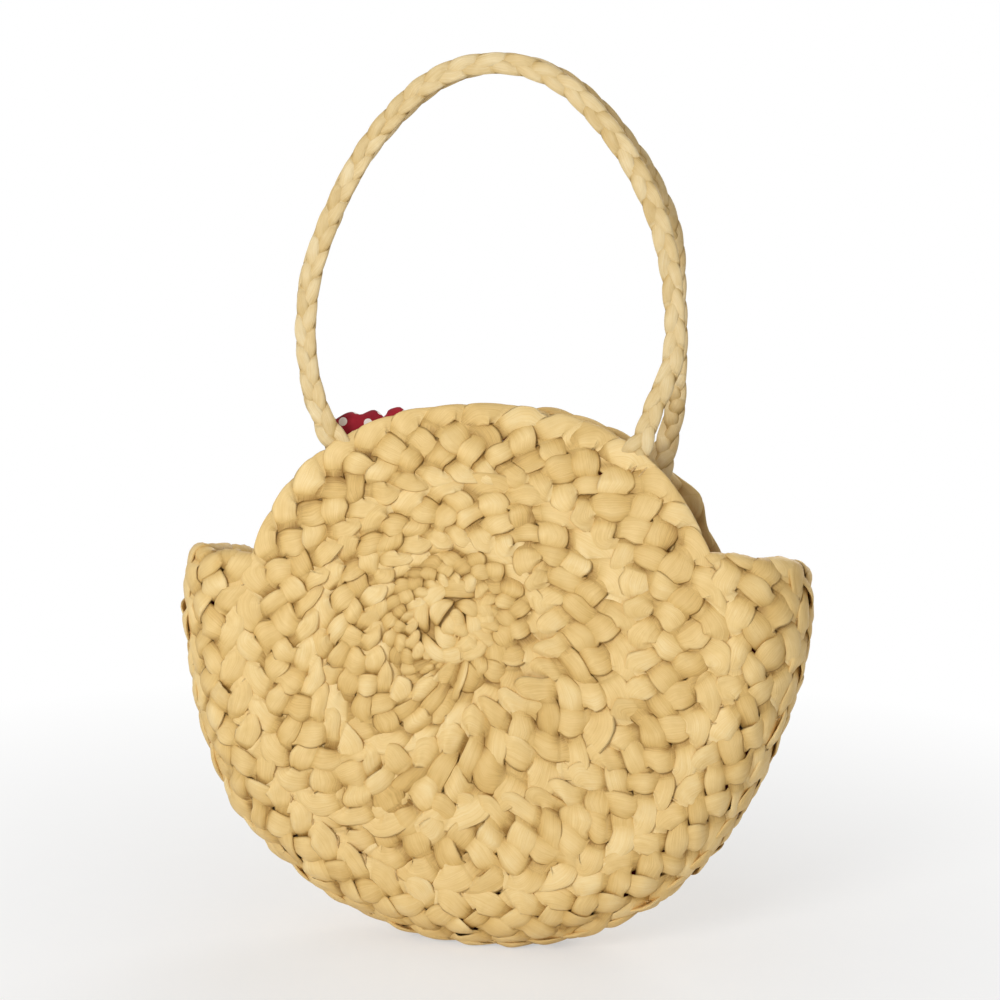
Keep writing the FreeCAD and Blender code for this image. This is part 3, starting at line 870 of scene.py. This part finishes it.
LINING_OFFSET = -0.0042
LINING_THICKNESS = 0.0005
LINING_RADIUS = DISC_RADIUS - 0.003
HEM_DROP = 0.016
HEM_DROP_RUN = 0.12
HEM_WIDTH = 0.010
HEM_THICKNESS = 0.0008
HEM_ROUNDING = 0.002
HEM_ENDS = np.radians([26, 154])
# Folds of the front lining that stand above the rim beside the left root of the handle.
HEM_FOLDS = {
    "front": in_degrees((123.5, 6.0, 0.0380), (118.6, 4.8, 0.0333), (112.7, 3.8, 0.0296)),
    "back": [],
}
# The hem's wide rise up to the rim on both sides of those folds.
HEM_RISES = {"front": in_degrees((119, 18, 0.0195)), "back": []}
FOLD_MARGIN = math.radians(5)
FOLD_STAND_OFF = 0.0045
FOLD_FROM = 0.70
FOLD_RUN = 0.14


def hem_radius(which, angle):
    """Edge of the round lining: at the seam round the gusset, lower along the mouth, with its folds."""
    mouth = smooth_step((np.sin(angle) - MOUTH_SINE) / HEM_DROP_RUN)
    fold = np.zeros(np.shape(angle))
    for centre, half, rise in HEM_FOLDS[which] + HEM_RISES[which]:
        fold = np.maximum(fold, rise * np.exp(-(angle_apart(angle, centre) / half) ** 4))
    return LINING_RADIUS - HEM_DROP * mouth + fold


def fold_stand_off(which, angle, share):
    """How far the lining's folds stand off the panel, clear of the handle's foot behind the rim."""
    total = np.zeros(np.shape(angle))
    for centre, half, _ in HEM_FOLDS[which]:
        total = np.maximum(total, np.exp(-(angle_apart(angle, centre) / (half + FOLD_MARGIN)) ** 4))
    return FOLD_STAND_OFF * total * smooth_step((share - FOLD_FROM) / FOLD_RUN)


def lining_disc(which, seed):
    """The round lining of one side, a little slack, with a turned-in hem along its edge."""
    sign = SIDE_SIGN[which]
    rng = np.random.default_rng(seed)
    slack = wave_field(rng, count=12, longest=0.070, shortest=0.022)
    ripple = wave_field(rng, count=6, longest=0.030, shortest=0.012)
    spokes = 540
    shares = np.concatenate([[0.016], np.linspace(0.05, 1.0, 46)])
    behind = 0.0012
    slackness = 0.0011
    most_slack = 0.0010
    rippling = 0.0012
    most_ripple = 0.0006
    ripple_from = 0.8
    ripple_run = 0.2
    probe = 0.001
    angle = np.linspace(0, 2 * math.pi, spokes + 1)[:-1]
    reach = hem_radius(which, angle)
    rows = []
    for share in shares:
        radius = share * reach
        x = radius * np.cos(angle)
        height = radius * np.sin(angle)
        flat = np.column_stack([x, np.zeros(len(x)), height])
        loose = slackness * slack(flat) * (1 - share ** 4)
        hem = HEM_THICKNESS * smooth_step((radius - reach + HEM_WIDTH) / HEM_ROUNDING)
        edge = rippling * ripple(flat) * smooth_step((share - ripple_from) / ripple_run)
        up = LINING_OFFSET - behind + np.minimum(loose, most_slack) - hem + np.minimum(edge, most_ripple)
        up = up - fold_stand_off(which, angle, share)
        points = panel_surface(x, height, up, sign)
        ahead = panel_surface(x, height, up + probe, sign)
        rows.append((points, (ahead - points) / probe, np.column_stack([x, height])))
    return rings_sheet(f"lining_{which}_cloth", rows, LINING_THICKNESS, cotton, closed=True)


def lining_strip(seed):
    """The lining of the gusset, from the front seam round to the back seam."""
    rng = np.random.default_rng(seed)
    slack = wave_field(rng, count=10, longest=0.060, shortest=0.020)
    behind = 0.0010
    below_ear = 0.018
    looseness = 0.0008
    edge_angle = 88
    half_length = 0.30
    section_radius = HALF_DEPTH + LINING_OFFSET - behind
    section = np.radians(np.linspace(-edge_angle, edge_angle, 45))
    rows = []
    for share in np.linspace(-1, 1, 121):
        reach = SEAM_RADIUS + section_radius * np.cos(section)
        end = 0.5 * math.pi + np.arcsin((GUSSET_END - EAR_DROP - below_ear) / reach)
        points, normal = round_section(section, share * end, section_radius)
        points = settle(points - (looseness * (1 + slack(points)))[:, None] * normal)
        flat = np.column_stack([section_radius * section, share * np.full(len(section), half_length)])
        rows.append((points, normal, flat))
    return rings_sheet("lining_gusset_cloth", rows, LINING_THICKNESS, cotton)


THREAD_RADIUS = 0.0005
HEM_THREAD_RADIUS = 0.0004
THREAD_END = 0.35


def thread_piece(name, lines, radius, sides=8):
    """Thin round threads along lines of points, each with its ends drawn in."""
    points, faces = [], []
    around = 2 * math.pi * np.arange(sides) / sides
    for line in lines:
        count = len(line)
        heading = np.gradient(line, axis=0)
        heading /= np.linalg.norm(heading, axis=1)[:, None]
        helper = np.where(np.abs(heading[:, 1:2]) < 0.8, [[0.0, 1.0, 0.0]], [[1.0, 0.0, 0.0]])
        first = np.cross(heading, helper)
        first /= np.linalg.norm(first, axis=1)[:, None]
        second = np.cross(heading, first)
        reach = np.full(count, radius)
        reach[[0, -1]] = THREAD_END * radius
        ring = np.cos(around)[None, :, None] * first[:, None, :]
        ring = ring + np.sin(around)[None, :, None] * second[:, None, :]
        placed = line[:, None, :] + reach[:, None, None] * ring
        faces += tube_faces(count, sides, sum(len(block) for block in points))
        points.append(placed.reshape(-1, 3))
    return mesh_object(name, np.concatenate(points), faces, thread)


def row_thread(name, mid_angle, margin):
    """An overcast thread along the gusset that sews two plaited edges together."""
    pitch = 0.009
    half_width = 0.0026
    half_depth = 0.0011
    lowest = 0.0012
    band = gusset_band(mid_angle)
    s = np.linspace(band["s"][0] + margin, band["s"][-1] - margin, 900)
    turn = 2 * math.pi * s / pitch
    line = band["place"](s, half_width * np.sin(turn), half_depth * np.cos(turn))
    line[:, 2] = np.maximum(line[:, 2], lowest)
    return thread_piece(name, [line], THREAD_RADIUS)


def handle_stitches(which):
    """Loops of thread that hold the two feet of a handle: hidden in the plait, and seen inside the bag."""
    root_x = HANDLE_HALF_WIDTH - ROOT_INSET[which]
    root_angle = math.acos(root_x / DISC_RADIUS)
    pitch = 0.0045
    outside = 0.0002
    inside = 0.0030
    below = 0.011
    hook = 0.002
    sunk = 0.0012
    middle = 0.5 * (outside - inside)
    half = 0.5 * (outside + inside)
    over = np.linspace(-0.5 * math.pi, 0.5 * math.pi, 11)
    up = np.concatenate([[middle, -inside], middle + half * np.sin(over), [outside, middle]])
    top = half * np.cos(over) - half - sunk
    down = np.concatenate([[-below, hook - below], top, [hook - below, -below]])
    lines = []
    for foot in (root_angle, math.pi - root_angle):
        for step in (-1.5, -0.5, 0.5, 1.5):
            angle = foot + step * pitch / DISC_RADIUS
            radius = DISC_RADIUS * (1 + rim_bulge(which, angle)) - RIM_GAP + down
            x = radius * math.cos(angle)
            lines.append(panel_surface(x, radius * math.sin(angle), up, SIDE_SIGN[which]))
    return thread_piece(f"{which}_handle_foot_stitches", lines, THREAD_RADIUS)


def hem_stitches(which):
    """A row of short running stitches that holds the lining's hem along the mouth, apart from its folds."""
    sign = SIDE_SIGN[which]
    stitch = 0.0042 / DISC_RADIUS
    pitch = 0.0072 / DISC_RADIUS
    from_hem = 0.006
    clear = 0.0022
    bulge = 0.0004
    loose_share = 0.3
    share = np.linspace(0, 1, 7)
    lines = []
    for start in np.arange(HEM_ENDS[0], HEM_ENDS[1], pitch):
        angle = start + stitch * share
        radius = hem_radius(which, angle) - from_hem
        if np.max(fold_stand_off(which, angle, 1.0)) > loose_share * FOLD_STAND_OFF:
            continue
        bow = bulge * np.sin(math.pi * share)
        up = LINING_OFFSET - LINING_THICKNESS - clear - bow
        lines.append(panel_surface(radius * np.cos(angle), radius * np.sin(angle), up, sign))
    return thread_piece(f"lining_{which}_hem_stitches", lines, HEM_THREAD_RADIUS)


BODY_OF = {"front": "front_side", "back": "bag"}
PANEL_SEED = {"front": 11, "back": 12}
HANDLE_SEED = {"front": 21, "back": 22}
LINING_SEED = {"front": 31, "back": 32}
ROW_SEED = {"front": 41, "middle": 42, "back": 43}
STRIP_SEED = 51
for which in ("front", "back"):
    body = BODY_OF[which]
    panel = plait(f"{which}_panel_plait", spiral_band(which), WIDE_PLAIT, PANEL_SEED[which], straw)
    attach(panel, body)
    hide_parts(f"{which}_panel")

    handle = plait(
        f"{which}_handle_plait", handle_band(which), HANDLE_PLAIT, HANDLE_SEED[which], handle_straw,
    )
    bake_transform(handle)
    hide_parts(f"{which}_handle", f"{which}_handle_ends")

    cloth = lining_disc(which, LINING_SEED[which])
    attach(cloth, body)
    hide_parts(f"lining_{which}")
    stitches = hem_stitches(which)
    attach(stitches, body)
    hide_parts(f"lining_{which}_stitches")

for row, angle in GUSSET_ROWS:
    band = gusset_band(math.radians(angle))
    strip = plait(f"gusset_{row}_row_plait", band, WIDE_PLAIT, ROW_SEED[row], straw)
    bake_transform(strip)
    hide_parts(f"gusset_{row}_row")
for row, angle in ROW_SEAMS:
    seam = row_thread(f"gusset_{row}_seam_stitches", math.radians(angle), margin=0.020)
    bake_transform(seam)
    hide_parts(f"gusset_{row}_seam_thread")
strip = lining_strip(STRIP_SEED)
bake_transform(strip)
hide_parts("lining_gusset")

for which, angle in PANEL_SEAMS:
    seam = row_thread(f"{which}_seam_stitches", math.radians(angle), margin=0.040)
    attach(seam, BODY_OF[which])
    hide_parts(f"{which}_seam_thread")
    loops = handle_stitches(which)
    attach(loops, BODY_OF[which])
    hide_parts(f"{which}_handle_stitches")


# The camera's place round the bag: azimuth 0 looks along +Y and grows to the right.
CAMERA_AZIMUTH = 10.0
CAMERA_ELEVATION = 10.5
CAMERA_DISTANCE = 1.40
CAMERA_ROLL = 0.8
# Metres per pixel, and how far the picture's middle lies from the front disc's centre, in pixels.
PHOTO_SCALE = 0.000528
PHOTO_WIDTH = 1000
AIM_RIGHT = 19
AIM_UP = 156
SENSOR = 36.0
lens = bpy.data.cameras.new("camera")
lens.sensor_width = SENSOR
camera = bpy.data.objects.new("camera", lens)
bpy.context.scene.collection.objects.link(camera)
bpy.context.scene.camera = camera
lens.lens = SENSOR * CAMERA_DISTANCE / (PHOTO_WIDTH * PHOTO_SCALE)
turn = math.radians(CAMERA_AZIMUTH)
rise = math.radians(CAMERA_ELEVATION)
right = Vector((math.cos(turn), math.sin(turn), 0))
upward = Vector((-math.sin(turn) * math.sin(rise), math.cos(turn) * math.sin(rise), math.cos(rise)))
away = Vector((math.sin(turn) * math.cos(rise), -math.cos(turn) * math.cos(rise), math.sin(rise)))
target = Vector((0, -HALF_DEPTH, DISC_HEIGHT))
target = target + AIM_RIGHT * PHOTO_SCALE * right + AIM_UP * PHOTO_SCALE * upward
camera.location = target + CAMERA_DISTANCE * away
level = away.to_track_quat("Z", "Y")
camera.rotation_euler = (level @ Quaternion((0, 0, 1), math.radians(CAMERA_ROLL))).to_euler()


def area_light(name, place, aim, width, power):
    lamp = bpy.data.lights.new(name, "AREA")
    lamp.shape = "DISK"
    lamp.size = width
    lamp.energy = power
    holder = bpy.data.objects.new(name, lamp)
    holder.location = place
    holder.rotation_euler = (Vector(place) - Vector(aim)).to_track_quat("Z", "Y").to_euler()
    bpy.context.scene.collection.objects.link(holder)


LIGHT_AIM = (0, 0, 0.22)
area_light("key_light", (-0.62, -1.84, 0.90), LIGHT_AIM, width=0.7, power=21.3)
area_light("fill_light", (1.6, -1.5, 0.9), LIGHT_AIM, width=1.4, power=2.2)
area_light("back_light", (0.5, 1.9, 1.1), LIGHT_AIM, width=1.2, power=15.0)

world = bpy.data.worlds.new("studio")
bpy.context.scene.world = world
world.use_nodes = True
tree = world.node_tree
tree.nodes.clear()
rays = tree.nodes.new("ShaderNodeLightPath")
seen = math_node(tree, "MAXIMUM", rays.outputs["Is Camera Ray"], rays.outputs["Is Glossy Ray"])
seen = math_node(tree, "MAXIMUM", seen, rays.outputs["Is Transmission Ray"])
soft = add_node(tree, "ShaderNodeBackground", Color=(1.0, 0.985, 0.96, 1.0), Strength=0.42)
white = add_node(tree, "ShaderNodeBackground", Color=(1.0, 1.0, 1.0, 1.0), Strength=1.0)
both = add_node(tree, "ShaderNodeMixShader", in0=seen, in1=soft.outputs[0], in2=white.outputs[0])
output = tree.nodes.new("ShaderNodeOutputWorld")
tree.links.new(both.outputs[0], output.inputs["Surface"])

FLOOR_REACH = 6.0
corners = np.array([[-1, -1, 0], [1, -1, 0], [1, 1, 0], [-1, 1, 0]]) * FLOOR_REACH
floor_material, tree, shader = new_material("floor")
rays = tree.nodes.new("ShaderNodeLightPath")
place = tree.nodes.new("ShaderNodeNewGeometry").outputs["Position"]
apart = add_node(tree, "ShaderNodeVectorMath", in0=place)
apart.operation = "LENGTH"
away = add_node(
    tree, "ShaderNodeMapRange", Value=apart.outputs["Value"], From__Min=0.15, From__Max=0.60, To__Min=0.5,
)
grain = noise(tree, place, Scale=40.0)
pale = colour_ramp(tree, grain, [(0.0, (0.90, 0.90, 0.90, 1)), (1.0, (0.93, 0.93, 0.93, 1))])
set_inputs(tree, shader, Base__Color=pale, Roughness=0.9, Specular__IOR__Level=0.0)
glow = add_node(tree, "ShaderNodeEmission", Color=(1.0, 1.0, 1.0, 1.0), Strength=1.0)
share = math_node(tree, "MULTIPLY", rays.outputs["Is Camera Ray"], away.outputs[0])
blend = add_node(tree, "ShaderNodeMixShader", in0=share, in1=shader.outputs[0], in2=glow.outputs[0])
tree.links.new(blend.outputs[0], tree.nodes["Material Output"].inputs["Surface"])
floor = mesh_object("floor", corners, [(0, 1, 2, 3)], floor_material)

bpy.context.scene.view_settings.view_transform = "Standard"
